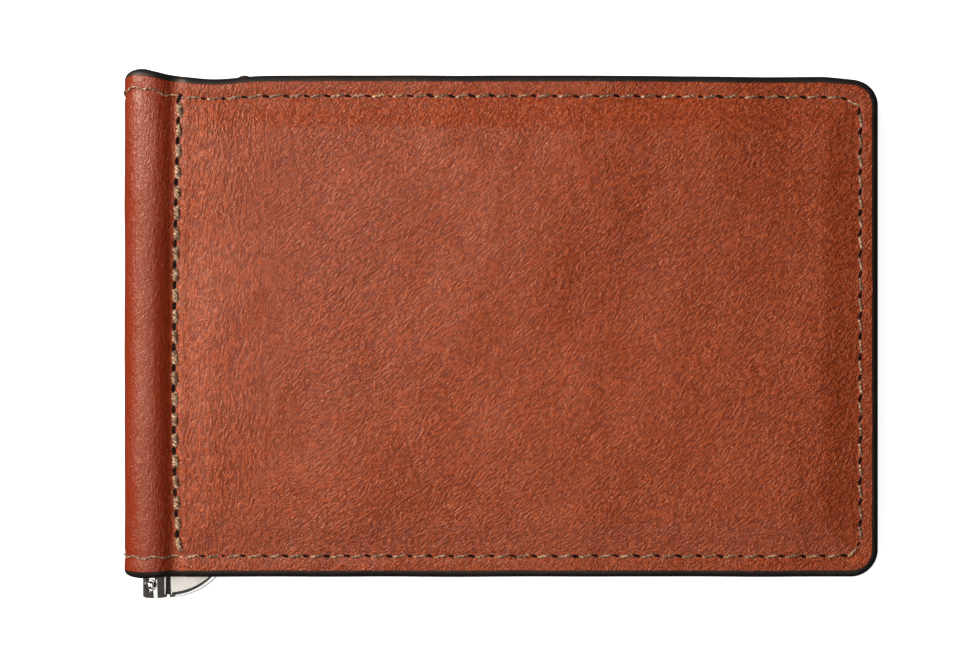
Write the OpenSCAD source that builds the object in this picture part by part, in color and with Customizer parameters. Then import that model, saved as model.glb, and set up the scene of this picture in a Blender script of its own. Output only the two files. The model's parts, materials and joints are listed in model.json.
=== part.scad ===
// Leather money clip: a bifold cover with card pockets, and a sprung note clip whose
// hinge tube is sewn into the spine. It lies closed on its back cover, front cover up.
// X runs from the spine to the fore edge, Y from bottom to top, Z out of the front cover.
// The origin is the middle of the back cover's outer face.

/* [Cover] */
// Closed width, from the spine's outer face to the fore edge
cover_w = 110.6; // [104:0.2:118]
// Height of the cover
cover_h = 73.5; // [71:0.5:80]
// Closed thickness over the padded middle
cover_t = 11.6; // [11.4:0.1:12.4]
// Radius of the two corners at the fore edge
corner_r = 4; // [2:0.5:8]
// Outer radius of the roll where each cover turns into the spine
roll_r = 4; // [3.8:0.1:4.4]

/* [Layers] */
// Thickness of the outer leather
outer_t = 1.2; // [1:0.1:1.4]
// Thickness of the stiffening board, and the rise of the padded middle
board_t = 0.6; // [0.4:0.1:0.8]
// Thickness of the lining
lining_t = 0.5; // [0.4:0.05:0.6]
// Thickness of the leather of one card pocket
pocket_t = 0.45; // [0.35:0.05:0.5]
// Height of the front pocket's mouth above the middle of the cover
pocket_mouth_y = 10; // [4:1:14]
// How much higher each pocket behind it reaches
pocket_step = 7.5; // [6:0.5:9]

/* [Seams] */
// Distance of the seam from the cover's edges
seam_inset = 3; // [2.5:0.1:3.5]
// Distance of the long seam from the spine's outer face
spine_seam_u = 7.5; // [7:0.1:8]
// Thread width
thread_w = 0.5; // [0.4:0.05:0.7]
// Thread height on the leather
thread_t = 0.3; // [0.2:0.05:0.4]

/* [Clip] */
// Diameter of the clip's barrel
barrel_d = 3.6; // [3.4:0.1:3.8]
// Diameter of the hinge tube, which the sleeve holds
tube_d = 3.2; // [3.1:0.05:3.25]
// Distance of the hinge axis from the spine's outer face
hinge_u = 3.9; // [3.9:0.05:4.3]
// How far the barrel stands out below the cover
barrel_out = 3.6; // [3:0.1:5]
// Thickness of the clip's flat arm
arm_t = 1.2; // [1:0.1:1.4]
// Outer radius of the arm's lower corner, the thumb fin
fin_r = 10.1; // [9:0.1:12]
// Width of the arm's long bar
bar_w = 3.2; // [2.8:0.1:4]
// Distance of the bar's tip from the hinge axis
tip_reach = 13.3; // [11:0.1:14]
// How far the tip stands out above the cover
tip_out = 0.4; // [0.2:0.1:1.5]
// Diameter of the axle inside the tube
axle_d = 1.8; // [1.6:0.1:1.8]

/* [Hidden] */
$fn = 64;
eps = 0.01;
half_w = cover_w / 2;
half_h = cover_h / 2;
mid_z = cover_t / 2;
rim_z = cover_t - board_t;              // outer face of the front cover along its seams
outer_in = rim_z - outer_t;             // where the lining starts
lining_in = outer_in - lining_t;        // where the pockets start

roll_u = roll_r;                        // centre of the front roll, from the spine's outer face
roll_z = cover_t - roll_r;
roll_end = asin((rim_z - roll_z) / roll_r);  // where the roll comes down to the rim
fold_a = 135;                           // each fold's axis lies halfway round its roll
fold_gap = 12;                          // free angle on each side of a fold's axis
plate_u = 5.6;                          // where the flat part of a cover starts
lining_u = 6.5;                         // where a cover's lining and pockets start
pad_base = [9, 4.4];                    // foot of the padded middle: from the spine, from the edges
pad_top = [13, 8.5];                    // its flat top, which is also the board's outline
board_gap = 0.1;                        // free width round the board
groove_gap = 0.05;                      // free width on each side of a thread

hinge_x = hinge_u - half_w;
barrel_r = barrel_d / 2;
tube_r = tube_d / 2;
barrel_y0 = -half_h - barrel_out;
barrel_y1 = -33.6;
washer_t = 0.24;
slack = 0.03;
tube_y0 = barrel_y1 + washer_t + 2 * slack;
tube_y1 = 35.5;
tube_r_in = 1.3;
axle_r = axle_d / 2;
axle_y0 = barrel_y0 + 1.15;
axle_y1 = 34.4;
bush_len = 3;
bush_y_top = 33.5;
ring_t = 0.5;
ring_gap = 0.1;
cap_y0 = 34.6;
cap_lip = 0.4;
sleeve_r = 2.15;
sleeve_bore_r = 1.65;
sleeve_y0 = tube_y0 + 0.2;
sleeve_y1 = 35.3;
foot_w = 3;                             // the sleeve's foot on the spine lining
pin_y = barrel_y0 + 1.95;
pin_r = 0.45;
pin_turn = -17;                         // the pin leans towards the spine
pin_head_r = 0.68;
pin_head_h = 0.32;
pin_shoulder = 0.05;                    // the head stands this far off the barrel
spring_turns = 10;
spring_pitch = 0.9;
spring_y0 = tube_y0 + bush_len + 0.6;
spring_r = 1.1;
spring_wire_r = 0.12;
anchor_y = spring_y0 + spring_turns * spring_pitch + 0.7;
anchor_r = 0.3;
anchor_in = 1;                          // its inner end, from the hinge axis

fin_u = 1.9;                            // centre of the fin's corner, from the hinge axis
root_u = 0.6;                           // where the arm's plate starts inside the barrel
crook_u = 3.75;                         // centre of the bend between fin and bar, from the axis
crook_rise = 1.2;                       // and above the fin's centre
crook_r = 5;

// Points of an arc from angle a0 to a1
function arc(cx, cy, r, a0, a1, n = 12) =
    [for (i = [0:n]) let (a = a0 + (a1 - a0) * i / n) [cx + r * cos(a), cy + r * sin(a)]];

// Outline of a cover from x = left to the fore edge, set in from its three free edges
function leaf_points(left, inset) =
    let (r = max(corner_r - inset, 0.6), x = half_w - inset, y = half_h - inset)
    concat([[left, -y]], arc(x - r, -y + r, r, -90, 0), arc(x - r, y - r, r, 0, 90), [[left, y]]);

// Section of the front roll between two radii and two angles, in X and Z
function roll_points(r_out, r_in, a0, a1) = concat(
    arc(roll_u - half_w, roll_z, r_out, a0, a1),
    arc(roll_u - half_w, roll_z, r_in, a1, a0));

module leaf_plate(left, inset, z0, z1) {
    translate([0, 0, z0]) linear_extrude(z1 - z0) polygon(leaf_points(left, inset));
}

// Extrudes a section in X and Z along Y
module along_y(y0, y1) {
    translate([0, y1, 0]) rotate([90, 0, 0]) linear_extrude(y1 - y0) children();
}

// The back cover is the front cover turned over about the wallet's middle plane
module as_back() {
    translate([0, 0, mid_z]) mirror([0, 0, 1]) translate([0, 0, -mid_z]) children();
}

module rod_y(x, z, r, y0, y1) {
    translate([x, y0, z]) rotate([-90, 0, 0]) cylinder(r = r, h = y1 - y0);
}

// ---- Covers, drawn as the front cover ----

module cover_outer() {
    color([0.62, 0.27, 0.15]) difference() {
        union() {
            along_y(-half_h, half_h)
                polygon(roll_points(roll_r, roll_r - outer_t, roll_end, fold_a - fold_gap));
            leaf_plate(plate_u - half_w, 0, outer_in, rim_z);
            hull() {
                leaf_plate(pad_base[0] - half_w, pad_base[1], rim_z - eps, rim_z);
                leaf_plate(pad_top[0] - half_w, pad_top[1], cover_t - eps, cover_t);
            }
        }
        leaf_plate(pad_top[0] - half_w, pad_top[1], outer_in - eps, outer_in + board_t);
        for (side = [-1, 1]) roll_groove(side, roll_end - 5, fold_a);
    }
}

module cover_board() {
    color([0.45, 0.4, 0.34])
        leaf_plate(pad_top[0] - half_w, pad_top[1] + board_gap, outer_in, outer_in + board_t);
}

module cover_lining() {
    color([0.12, 0.1, 0.09]) leaf_plate(lining_u - half_w, 0, lining_in, outer_in);
}

// Pocket 1 lies on the lining and reaches highest, pocket 3 is in front
module cover_pocket(number) {
    z1 = lining_in - (number - 1) * pocket_t;
    mouth_y = pocket_mouth_y + (3 - number) * pocket_step;
    color([0.6, 0.28, 0.16]) difference() {
        leaf_plate(lining_u - half_w, 0, z1 - pocket_t, z1);
        translate([-half_w, mouth_y, 0]) cube([cover_w + 2, half_h, cover_t]);
    }
}

module roll_groove(side, a0, a1) {
    y = side * (half_h - seam_inset);
    along_y(y - thread_w / 2 - groove_gap, y + thread_w / 2 + groove_gap)
        polygon(roll_points(roll_r + 1, roll_r - thread_t, a0, a1));
}

module roll_thread(side, a0, a1) {
    y = side * (half_h - seam_inset);
    along_y(y - thread_w / 2, y + thread_w / 2)
        polygon(roll_points(roll_r, roll_r - thread_t, a0, a1));
}

// Perimeter seam: along three edges of the cover, then over the roll
module cover_thread() {
    color([0.72, 0.6, 0.45]) {
        translate([0, 0, rim_z]) linear_extrude(thread_t) difference() {
            polygon(leaf_points(lining_u - half_w, seam_inset - thread_w / 2));
            polygon(leaf_points(lining_u - half_w - 1, seam_inset + thread_w / 2));
        }
        for (side = [-1, 1]) roll_thread(side, roll_end + 2, fold_a - fold_gap);
    }
}

// Long seam beside the spine, which closes the pocket block
module cover_seam_thread() {
    y = half_h - seam_inset - thread_w;
    color([0.72, 0.6, 0.45])
        translate([spine_seam_u - half_w - thread_w / 2, -y, rim_z]) cube([thread_w, 2 * y, thread_t]);
}

// ---- Spine ----

module spine_outer() {
    a0 = fold_a + fold_gap;
    color([0.6, 0.25, 0.14]) difference() {
        union() {
            translate([-half_w, -half_h, cover_t - roll_z]) cube([outer_t, cover_h, 2 * roll_z - cover_t]);
            along_y(-half_h, half_h) polygon(roll_points(roll_r, roll_r - outer_t, a0, 180));
            as_back() along_y(-half_h, half_h) polygon(roll_points(roll_r, roll_r - outer_t, a0, 180));
        }
        for (side = [-1, 1]) {
            spine_groove(side);
            roll_groove(side, fold_a, 180);
            as_back() roll_groove(side, fold_a, 180);
        }
    }
}

module spine_groove(side) {
    y = side * (half_h - seam_inset);
    translate([-half_w - 1, y - thread_w / 2 - groove_gap, cover_t - roll_z - eps])
        cube([1 + thread_t, thread_w + 2 * groove_gap, 2 * roll_z - cover_t + 2 * eps]);
}

module spine_thread() {
    a0 = fold_a + fold_gap;
    color([0.72, 0.6, 0.45]) for (side = [-1, 1]) {
        y = side * (half_h - seam_inset);
        translate([-half_w, y - thread_w / 2, cover_t - roll_z])
            cube([thread_t, thread_w, 2 * roll_z - cover_t]);
        roll_thread(side, a0, 180);
        as_back() roll_thread(side, a0, 180);
    }
}

module spine_lining() {
    color([0.12, 0.1, 0.09]) translate([outer_t - half_w, -half_h, cover_t - roll_z])
        cube([lining_t, cover_h, 2 * roll_z - cover_t]);
}

// Leather sleeve round the hinge tube, with its foot on the spine lining
module clip_sleeve() {
    color([0.55, 0.24, 0.14]) along_y(sleeve_y0, sleeve_y1) difference() {
        union() {
            translate([hinge_x, mid_z]) circle(r = sleeve_r);
            translate([outer_t + lining_t - half_w, mid_z - foot_w / 2])
                square([hinge_u - outer_t - lining_t, foot_w]);
        }
        translate([hinge_x, mid_z]) circle(r = sleeve_bore_r);
    }
}

// ---- Hinge of the clip ----

module hinge_tube() {
    color([0.78, 0.77, 0.75]) difference() {
        rod_y(hinge_x, mid_z, tube_r, tube_y0, tube_y1);
        rod_y(hinge_x, mid_z, tube_r_in, tube_y0 - 1, tube_y1 + 1);
        translate([hinge_x, anchor_y, mid_z]) rotate([0, -90, 0])
            cylinder(r = anchor_r + 0.02, h = tube_r + 1);
    }
}

module bushing(y0) {
    color([0.8, 0.62, 0.3]) difference() {
        rod_y(hinge_x, mid_z, tube_r_in - 0.02, y0, y0 + bush_len);
        rod_y(hinge_x, mid_z, axle_r + slack, y0 - 1, y0 + bush_len + 1);
    }
}

module thrust_washer() {
    color([0.92, 0.92, 0.9]) difference() {
        rod_y(hinge_x, mid_z, tube_r - 0.1, barrel_y1 + slack, barrel_y1 + slack + washer_t);
        rod_y(hinge_x, mid_z, axle_r + slack, barrel_y1 - 1, tube_y0 + 1);
    }
}

// The coil is swept as one ring of points after another, with its ends closed
module torsion_spring() {
    sides = 6;
    steps = 12 * spring_turns;
    points = [for (i = [0:steps], k = [0:sides - 1])
        let (a = 360 * i / 12, b = 360 * k / sides, r = spring_r + spring_wire_r * cos(b))
        [hinge_x + r * sin(a), spring_y0 + spring_pitch * i / 12 + spring_wire_r * sin(b),
            mid_z + r * cos(a)]];
    walls = [for (i = [0:steps - 1], k = [0:sides - 1])
        let (n = (k + 1) % sides)
        [i * sides + k, i * sides + n, (i + 1) * sides + n, (i + 1) * sides + k]];
    ends = [[for (k = [sides - 1:-1:0]) k], [for (k = [0:sides - 1]) steps * sides + k]];
    color([0.6, 0.6, 0.62]) polyhedron(points, concat(walls, ends), convexity = 10);
}

// A pin through the tube's wall holds the spring's fixed end
module spring_anchor_pin() {
    color([0.6, 0.6, 0.62]) translate([hinge_x - anchor_in, anchor_y, mid_z])
        rotate([0, -90, 0]) cylinder(r = anchor_r, h = tube_r - anchor_in);
}

module tube_cap() {
    color([0.78, 0.77, 0.75]) {
        rod_y(hinge_x, mid_z, tube_r_in - 0.02, cap_y0, tube_y1);
        rod_y(hinge_x, mid_z, tube_r, tube_y1, tube_y1 + cap_lip);
    }
}

// ---- Clip, which swings about the hinge axis ----

// Flat arm: thumb fin at the bottom, then a long bar with a round tip
function arm_points() =
    let (r = bar_w / 2, fin_y = barrel_y0 + fin_r, crook_y = fin_y + crook_rise)
    concat([[hinge_x + root_u, barrel_y0 + eps]],
        arc(hinge_x + fin_u, fin_y, fin_r, -90, 0, 24),
        arc(hinge_x + tip_reach, half_h + tip_out - r, r, 0, 180),
        arc(hinge_x + crook_u, crook_y, crook_r, 0, -90),
        [[hinge_x + root_u, crook_y - crook_r]]);

module clip_arm() {
    color([0.8, 0.78, 0.75]) difference() {
        union() {
            rod_y(hinge_x, mid_z, barrel_r, barrel_y0, barrel_y1);
            translate([0, 0, mid_z - arm_t / 2]) linear_extrude(arm_t) polygon(arm_points());
        }
        rod_y(hinge_x, mid_z, axle_r, axle_y0, barrel_y1 + 1);
        along_cross_pin() cylinder(r = pin_r + 0.02, h = 2 * barrel_r + 2, center = true);
    }
}

module along_cross_pin() {
    translate([hinge_x, pin_y, mid_z]) rotate([0, pin_turn, 0]) children();
}

module axle() {
    color([0.6, 0.6, 0.62]) difference() {
        rod_y(hinge_x, mid_z, axle_r, axle_y0, axle_y1);
        along_cross_pin() cylinder(r = pin_r + 0.02, h = 4, center = true);
    }
}

// Rivet through the barrel and the axle, with a round head at each end
module cross_pin() {
    dome_r = (pow(pin_head_r, 2) + pow(pin_head_h, 2)) / (2 * pin_head_h);
    color([0.85, 0.84, 0.82]) along_cross_pin() {
        cylinder(r = pin_r, h = 2 * (barrel_r + pin_shoulder) + eps, center = true);
        for (end = [0, 1]) mirror([0, 0, end]) translate([0, 0, barrel_r + pin_shoulder])
            intersection() {
                translate([0, 0, pin_head_h - dome_r]) sphere(r = dome_r);
                cylinder(r = dome_r, h = dome_r);
            }
    }
}

module retaining_ring() {
    color([0.6, 0.6, 0.62]) difference() {
        rod_y(hinge_x, mid_z, tube_r_in - 0.1, bush_y_top + ring_gap, bush_y_top + ring_gap + ring_t);
        rod_y(hinge_x, mid_z, axle_r, bush_y_top - 1, bush_y_top + 2);
    }
}

as_back() cover_outer();  // back_outer
as_back() cover_board();  // back_board
as_back() cover_lining();  // back_lining
as_back() cover_pocket(1);  // back_pocket_1
as_back() cover_pocket(2);  // back_pocket_2
as_back() cover_pocket(3);  // back_pocket_3
as_back() cover_thread();  // back_thread
as_back() cover_seam_thread();  // back_seam_thread
spine_outer();
spine_lining();
spine_thread();
clip_sleeve();
hinge_tube();
bushing(tube_y0);  // lower_bushing
bushing(bush_y_top - bush_len);  // upper_bushing
thrust_washer();
torsion_spring();
spring_anchor_pin();
tube_cap();
cover_outer();  // front_outer
cover_board();  // front_board
cover_lining();  // front_lining
cover_pocket(1);  // front_pocket_1
cover_pocket(2);  // front_pocket_2
cover_pocket(3);  // front_pocket_3
cover_thread();  // front_thread
cover_seam_thread();  // front_seam_thread
clip_arm();
axle();
cross_pin();
retaining_ring();
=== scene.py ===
"""Looks of a leather bifold money clip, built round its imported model."""

import json
import logging
import math
from dataclasses import dataclass, field
from enum import Enum
from typing import Any, Callable, Iterable, Sequence

import bmesh
import bpy
from mathutils import Matrix, Vector, noise


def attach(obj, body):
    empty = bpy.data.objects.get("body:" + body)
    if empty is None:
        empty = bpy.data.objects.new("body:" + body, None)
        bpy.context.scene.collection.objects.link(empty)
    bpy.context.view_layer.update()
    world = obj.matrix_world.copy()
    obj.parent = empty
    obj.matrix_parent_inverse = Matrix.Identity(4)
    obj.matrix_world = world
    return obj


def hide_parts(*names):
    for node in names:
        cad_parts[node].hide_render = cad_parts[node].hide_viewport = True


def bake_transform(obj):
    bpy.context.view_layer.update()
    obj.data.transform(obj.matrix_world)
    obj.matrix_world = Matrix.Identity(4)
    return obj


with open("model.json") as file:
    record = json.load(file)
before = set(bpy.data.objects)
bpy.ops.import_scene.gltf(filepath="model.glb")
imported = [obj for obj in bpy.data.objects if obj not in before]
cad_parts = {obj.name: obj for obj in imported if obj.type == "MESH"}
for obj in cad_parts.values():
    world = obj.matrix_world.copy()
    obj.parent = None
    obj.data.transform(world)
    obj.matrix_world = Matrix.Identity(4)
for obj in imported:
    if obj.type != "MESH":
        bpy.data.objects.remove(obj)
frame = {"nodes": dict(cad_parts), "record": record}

MM = 0.001
LOG = logging.getLogger("money_clip")
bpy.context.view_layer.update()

Place = Callable[[float, float], Vector]
Colour = tuple[float, float, float, float]
Faces = list[tuple[int, ...]]
Material = bpy.types.Material
Node = bpy.types.Node
Object = bpy.types.Object
Socket = bpy.types.NodeSocket


class Cover(Enum):
    """The two covers of the wallet."""

    FRONT = "front"
    BACK = "back"

    @property
    def body(self) -> str:
        """Name of the body that the cover belongs to."""
        return f"{self.value}_cover"


class Stitching(Enum):
    """The kinds of stitch row, as (thread radius, twist radius, length, hole length, hole width) in mm."""

    EDGE = (0.135, 0.085, 2.0, 1.45, 0.62)
    SEAM = (0.30, 0.25, 1.8, 1.6, 1.15)


def smooth(value: float) -> float:
    """Smooth step from 0 to 1 as value goes from 0 to 1."""
    value = min(1.0, max(0.0, value))
    return value * value * (3 - 2 * value)


def hump(distance: float, width: float) -> float:
    """Bell curve that is 1 at distance 0 and fades over width."""
    return math.exp(-((distance / width) ** 2))


def shade_by_angle(mesh: bpy.types.Mesh, degrees: float = 50.0) -> None:
    """Shades a mesh smooth, with edges sharper than the angle kept sharp."""
    mesh.polygons.foreach_set("use_smooth", [True] * len(mesh.polygons))
    mesh.set_sharp_from_angle(angle=math.radians(degrees))


def linked(name: str, data: Any) -> Object:
    """Puts an object with that data in the scene."""
    made = bpy.data.objects.new(name, data)
    bpy.context.scene.collection.objects.link(made)
    return made


def set_rim(piece: Object, values: Sequence[float]) -> None:
    """Stores each point's distance from the piece's edge in mm, as the attribute "rim"."""
    piece.data.attributes.new("rim", "FLOAT", "POINT").data.foreach_set("value", values)


def object_from(
    name: str,
    points: Iterable[Sequence[float]],
    faces: Iterable[Sequence[int]],
    material: Material,
    sharp: float = 50.0,
) -> Object:
    """Makes a closed mesh object from points in mm.

    Args:
        name: The piece's name.
        points: Vertex positions in mm.
        faces: Vertex indices of each face.
        material: Its first material.
        sharp: Edges above this angle in degrees stay sharp.

    Returns:
        The linked object, at the origin, with its faces outwards.
    """
    mesh = bpy.data.meshes.new(name)
    mesh.from_pydata([tuple(c * MM for c in p) for p in points], [], [tuple(f) for f in faces])
    built = bmesh.new()
    built.from_mesh(mesh)
    bmesh.ops.recalc_face_normals(built, faces=built.faces)
    built.to_mesh(mesh)
    built.free()
    mesh.materials.append(material)
    shade_by_angle(mesh, sharp)
    return linked(name, mesh)


def ring_faces(start: int, size: int, count: int) -> Faces:
    """Joins rings of points into a wall.

    Args:
        start: Number of the first ring's first point.
        size: Points in each ring.
        count: Number of rings, which follow each other.

    Returns:
        The wall's faces, ring by ring.
    """
    made = []
    for low in range(start, start + (count - 1) * size, size):
        for k in range(size):
            a, b = low + k, low + (k + 1) % size
            made.append((a, b, b + size, a + size))
    return made


def closed_panel(
    name: str,
    columns: Sequence[float],
    rows: Sequence[float],
    outer: Place,
    inner: Place,
    material: Material,
    rim: Callable[[float, float], float] | None = None,
    sharp: float = 50.0,
) -> Object:
    """Builds a closed panel from two sheets over the same grid.

    Args:
        name: The piece's name.
        columns: Grid values along the first direction.
        rows: Grid values along the second direction.
        outer: Point of the outer sheet at a column and row.
        inner: Point of the inner sheet at a column and row.
        material: Its material.
        rim: Distance from the panel's edge in mm, stored as the attribute "rim".
        sharp: Edges above this angle in degrees stay sharp.

    Returns:
        The panel.
    """
    wide, tall = len(columns), len(rows)
    grid = [(c, r) for c in columns for r in rows]
    points = [outer(c, r) for c, r in grid] + [inner(c, r) for c, r in grid]
    below = wide * tall
    faces: Faces = []
    for i in range(wide - 1):
        for j in range(tall - 1):
            a = i * tall + j
            quad = (a, a + tall, a + tall + 1, a + 1)
            faces.append(quad)
            faces.append(tuple(below + k for k in reversed(quad)))
    edge = [i * tall for i in range(wide)]
    edge += [(wide - 1) * tall + j for j in range(1, tall)]
    edge += [i * tall + tall - 1 for i in range(wide - 2, -1, -1)]
    edge += list(range(tall - 2, 0, -1))
    for k, a in enumerate(edge):
        b = edge[(k + 1) % len(edge)]
        faces.append((b, a, below + a, below + b))
    made = object_from(name, points, faces, material, sharp)
    if rim is not None:
        set_rim(made, [rim(c, r) for c, r in grid] * 2)
    return made


def lathe(
    profile: Sequence[tuple[float, float]], segments: int, to_place: Matrix
) -> tuple[list[Vector], Faces]:
    """Turns a profile about Z into a closed solid.

    Args:
        profile: (radius, height) pairs from one pole to the other, in mm.
        segments: Number of steps round the axis.
        to_place: Matrix in mm that puts the solid in its place.

    Returns:
        Its points in mm and its faces.
    """
    points: list[Vector] = []
    rings: list[list[int]] = []
    for radius, height in profile:
        if radius < 1e-6:
            points.append(Vector((0, 0, height)))
            rings.append([len(points) - 1] * segments)
            continue
        rings.append(list(range(len(points), len(points) + segments)))
        for k in range(segments):
            a = 2 * math.pi * k / segments
            points.append(Vector((radius * math.cos(a), radius * math.sin(a), height)))
    faces: Faces = []
    for low, high in zip(rings, rings[1:]):
        for k in range(segments):
            n = (k + 1) % segments
            face = list(dict.fromkeys((low[k], low[n], high[n], high[k])))
            if len(face) > 2:
                faces.append(tuple(face))
    return [to_place @ p for p in points], faces


class Nodes:
    """Short ways to add and link the nodes of a tree."""

    def __init__(self, tree: bpy.types.NodeTree) -> None:
        """Takes the tree to work on."""
        self.tree = tree

    def feed(self, socket: Socket, value: Any) -> None:
        """Links a socket to another socket, or sets its value."""
        if isinstance(value, Socket):
            self.tree.links.new(value, socket)
        else:
            socket.default_value = value

    def add(self, kind: str, settings: dict[str, Any] | None = None, **inputs: Any) -> Node:
        """Adds a node.

        Args:
            kind: Blender's type name of the node.
            settings: Properties of the node itself.
            **inputs: Values or sockets for its inputs, with _ for a space in the name.

        Returns:
            The node.
        """
        made = self.tree.nodes.new(kind)
        for key, value in (settings or {}).items():
            setattr(made, key, value)
        for key, value in inputs.items():
            self.feed(made.inputs[key.replace("_", " ")], value)
        return made

    def math(self, operation: str, *values: Any) -> Socket:
        """Adds a math node and returns its result."""
        made = self.add("ShaderNodeMath", {"operation": operation})
        for socket, value in zip(made.inputs, values):
            self.feed(socket, value)
        return made.outputs[0]

    def times(self, first: Any, second: Any) -> Socket:
        """Multiplies two values."""
        return self.math("MULTIPLY", first, second)

    def plus(self, first: Any, second: Any) -> Socket:
        """Adds two values."""
        return self.math("ADD", first, second)

    def flipped(self, value: Any) -> Socket:
        """Takes a value from 1."""
        return self.math("SUBTRACT", 1.0, value)


class Shader(Nodes):
    """A material under construction."""

    def __init__(self, name: str) -> None:
        """Starts a material with one principled shader.

        Args:
            name: The material's name.
        """
        self.material = bpy.data.materials.new(name)
        self.material.use_nodes = True
        super().__init__(self.material.node_tree)
        self.tree.nodes.clear()
        output = self.tree.nodes.new("ShaderNodeOutputMaterial")
        self.surface = self.tree.nodes.new("ShaderNodeBsdfPrincipled")
        self.tree.links.new(self.surface.outputs[0], output.inputs[0])
        self.place = self.add("ShaderNodeTexCoord").outputs["Object"]

    def ramp(self, value: Any, low: float, high: float, start: float = 0.0, end: float = 1.0) -> Socket:
        """Maps value from low..high to start..end with a smooth step."""
        made = self.add(
            "ShaderNodeMapRange", {"interpolation_type": "SMOOTHSTEP"},
            Value=value, From_Min=low, From_Max=high, To_Min=start, To_Max=end,
        )
        return made.outputs[0]

    def noise(self, scale: float, detail: float = 3.0, vector: Any = None, rough: float = 0.5) -> Socket:
        """Adds a noise pattern with a scale per metre and returns its value."""
        made = self.add(
            "ShaderNodeTexNoise", Scale=scale, Detail=detail, Roughness=rough,
            Vector=self.place if vector is None else vector,
        )
        return made.outputs[0]

    def moved(self, scale: Sequence[float], turn: float = 0, shift: Sequence[float] = (0, 0, 0)) -> Socket:
        """Object coordinates turned about Z by degrees, then scaled."""
        turned = self.add(
            "ShaderNodeMapping", Vector=self.place, Rotation=(0, 0, math.radians(turn)), Location=tuple(shift),
        )
        return self.add("ShaderNodeMapping", Vector=turned.outputs[0], Scale=tuple(scale)).outputs[0]

    def warped(self, vector: Socket, scale: float, amount: float) -> Socket:
        """Shifts a vector by coloured noise of that scale and amount."""
        wobble = self.add("ShaderNodeTexNoise", Scale=scale, Detail=2.0, Vector=vector).outputs[1]
        centred = self.add("ShaderNodeVectorMath", {"operation": "SUBTRACT"})
        self.feed(centred.inputs[0], wobble)
        centred.inputs[1].default_value = (0.5, 0.5, 0.5)
        scaled = self.add("ShaderNodeVectorMath", {"operation": "SCALE"}, Scale=amount)
        self.feed(scaled.inputs[0], centred.outputs[0])
        total = self.add("ShaderNodeVectorMath", {"operation": "ADD"})
        self.feed(total.inputs[0], vector)
        self.feed(total.inputs[1], scaled.outputs[0])
        return total.outputs[0]

    def cracks(self, vector: Socket, scale: float, width: float) -> Socket:
        """Lines between irregular cells: 1 in a line and 0 inside a cell."""
        cells = self.add(
            "ShaderNodeTexVoronoi", {"feature": "DISTANCE_TO_EDGE"}, Vector=vector, Scale=scale
        )
        return self.ramp(cells.outputs["Distance"], 0.0, width, 1.0, 0.0)

    def mix(self, factor: Any, first: Any, second: Any) -> Socket:
        """Mixes two colours."""
        made = self.add("ShaderNodeMix", {"data_type": "RGBA"})
        self.feed(made.inputs[0], factor)
        self.feed(made.inputs[6], first)
        self.feed(made.inputs[7], second)
        return made.outputs[2]

    def bump(self, height: Any, depth: float, strength: float = 1.0, under: Any = None) -> Socket:
        """Adds a bump of that depth in mm, on top of another bump where one is given."""
        made = self.add("ShaderNodeBump", Height=height, Distance=depth * MM, Strength=strength)
        if under is not None:
            self.feed(made.inputs["Normal"], under)
        return made.outputs[0]

    def finish(self, **inputs: Any) -> Material:
        """Sets the shader's own inputs and returns the material."""
        for key, value in inputs.items():
            self.feed(self.surface.inputs[key.replace("_", " ")], value)
        return self.material


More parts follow.
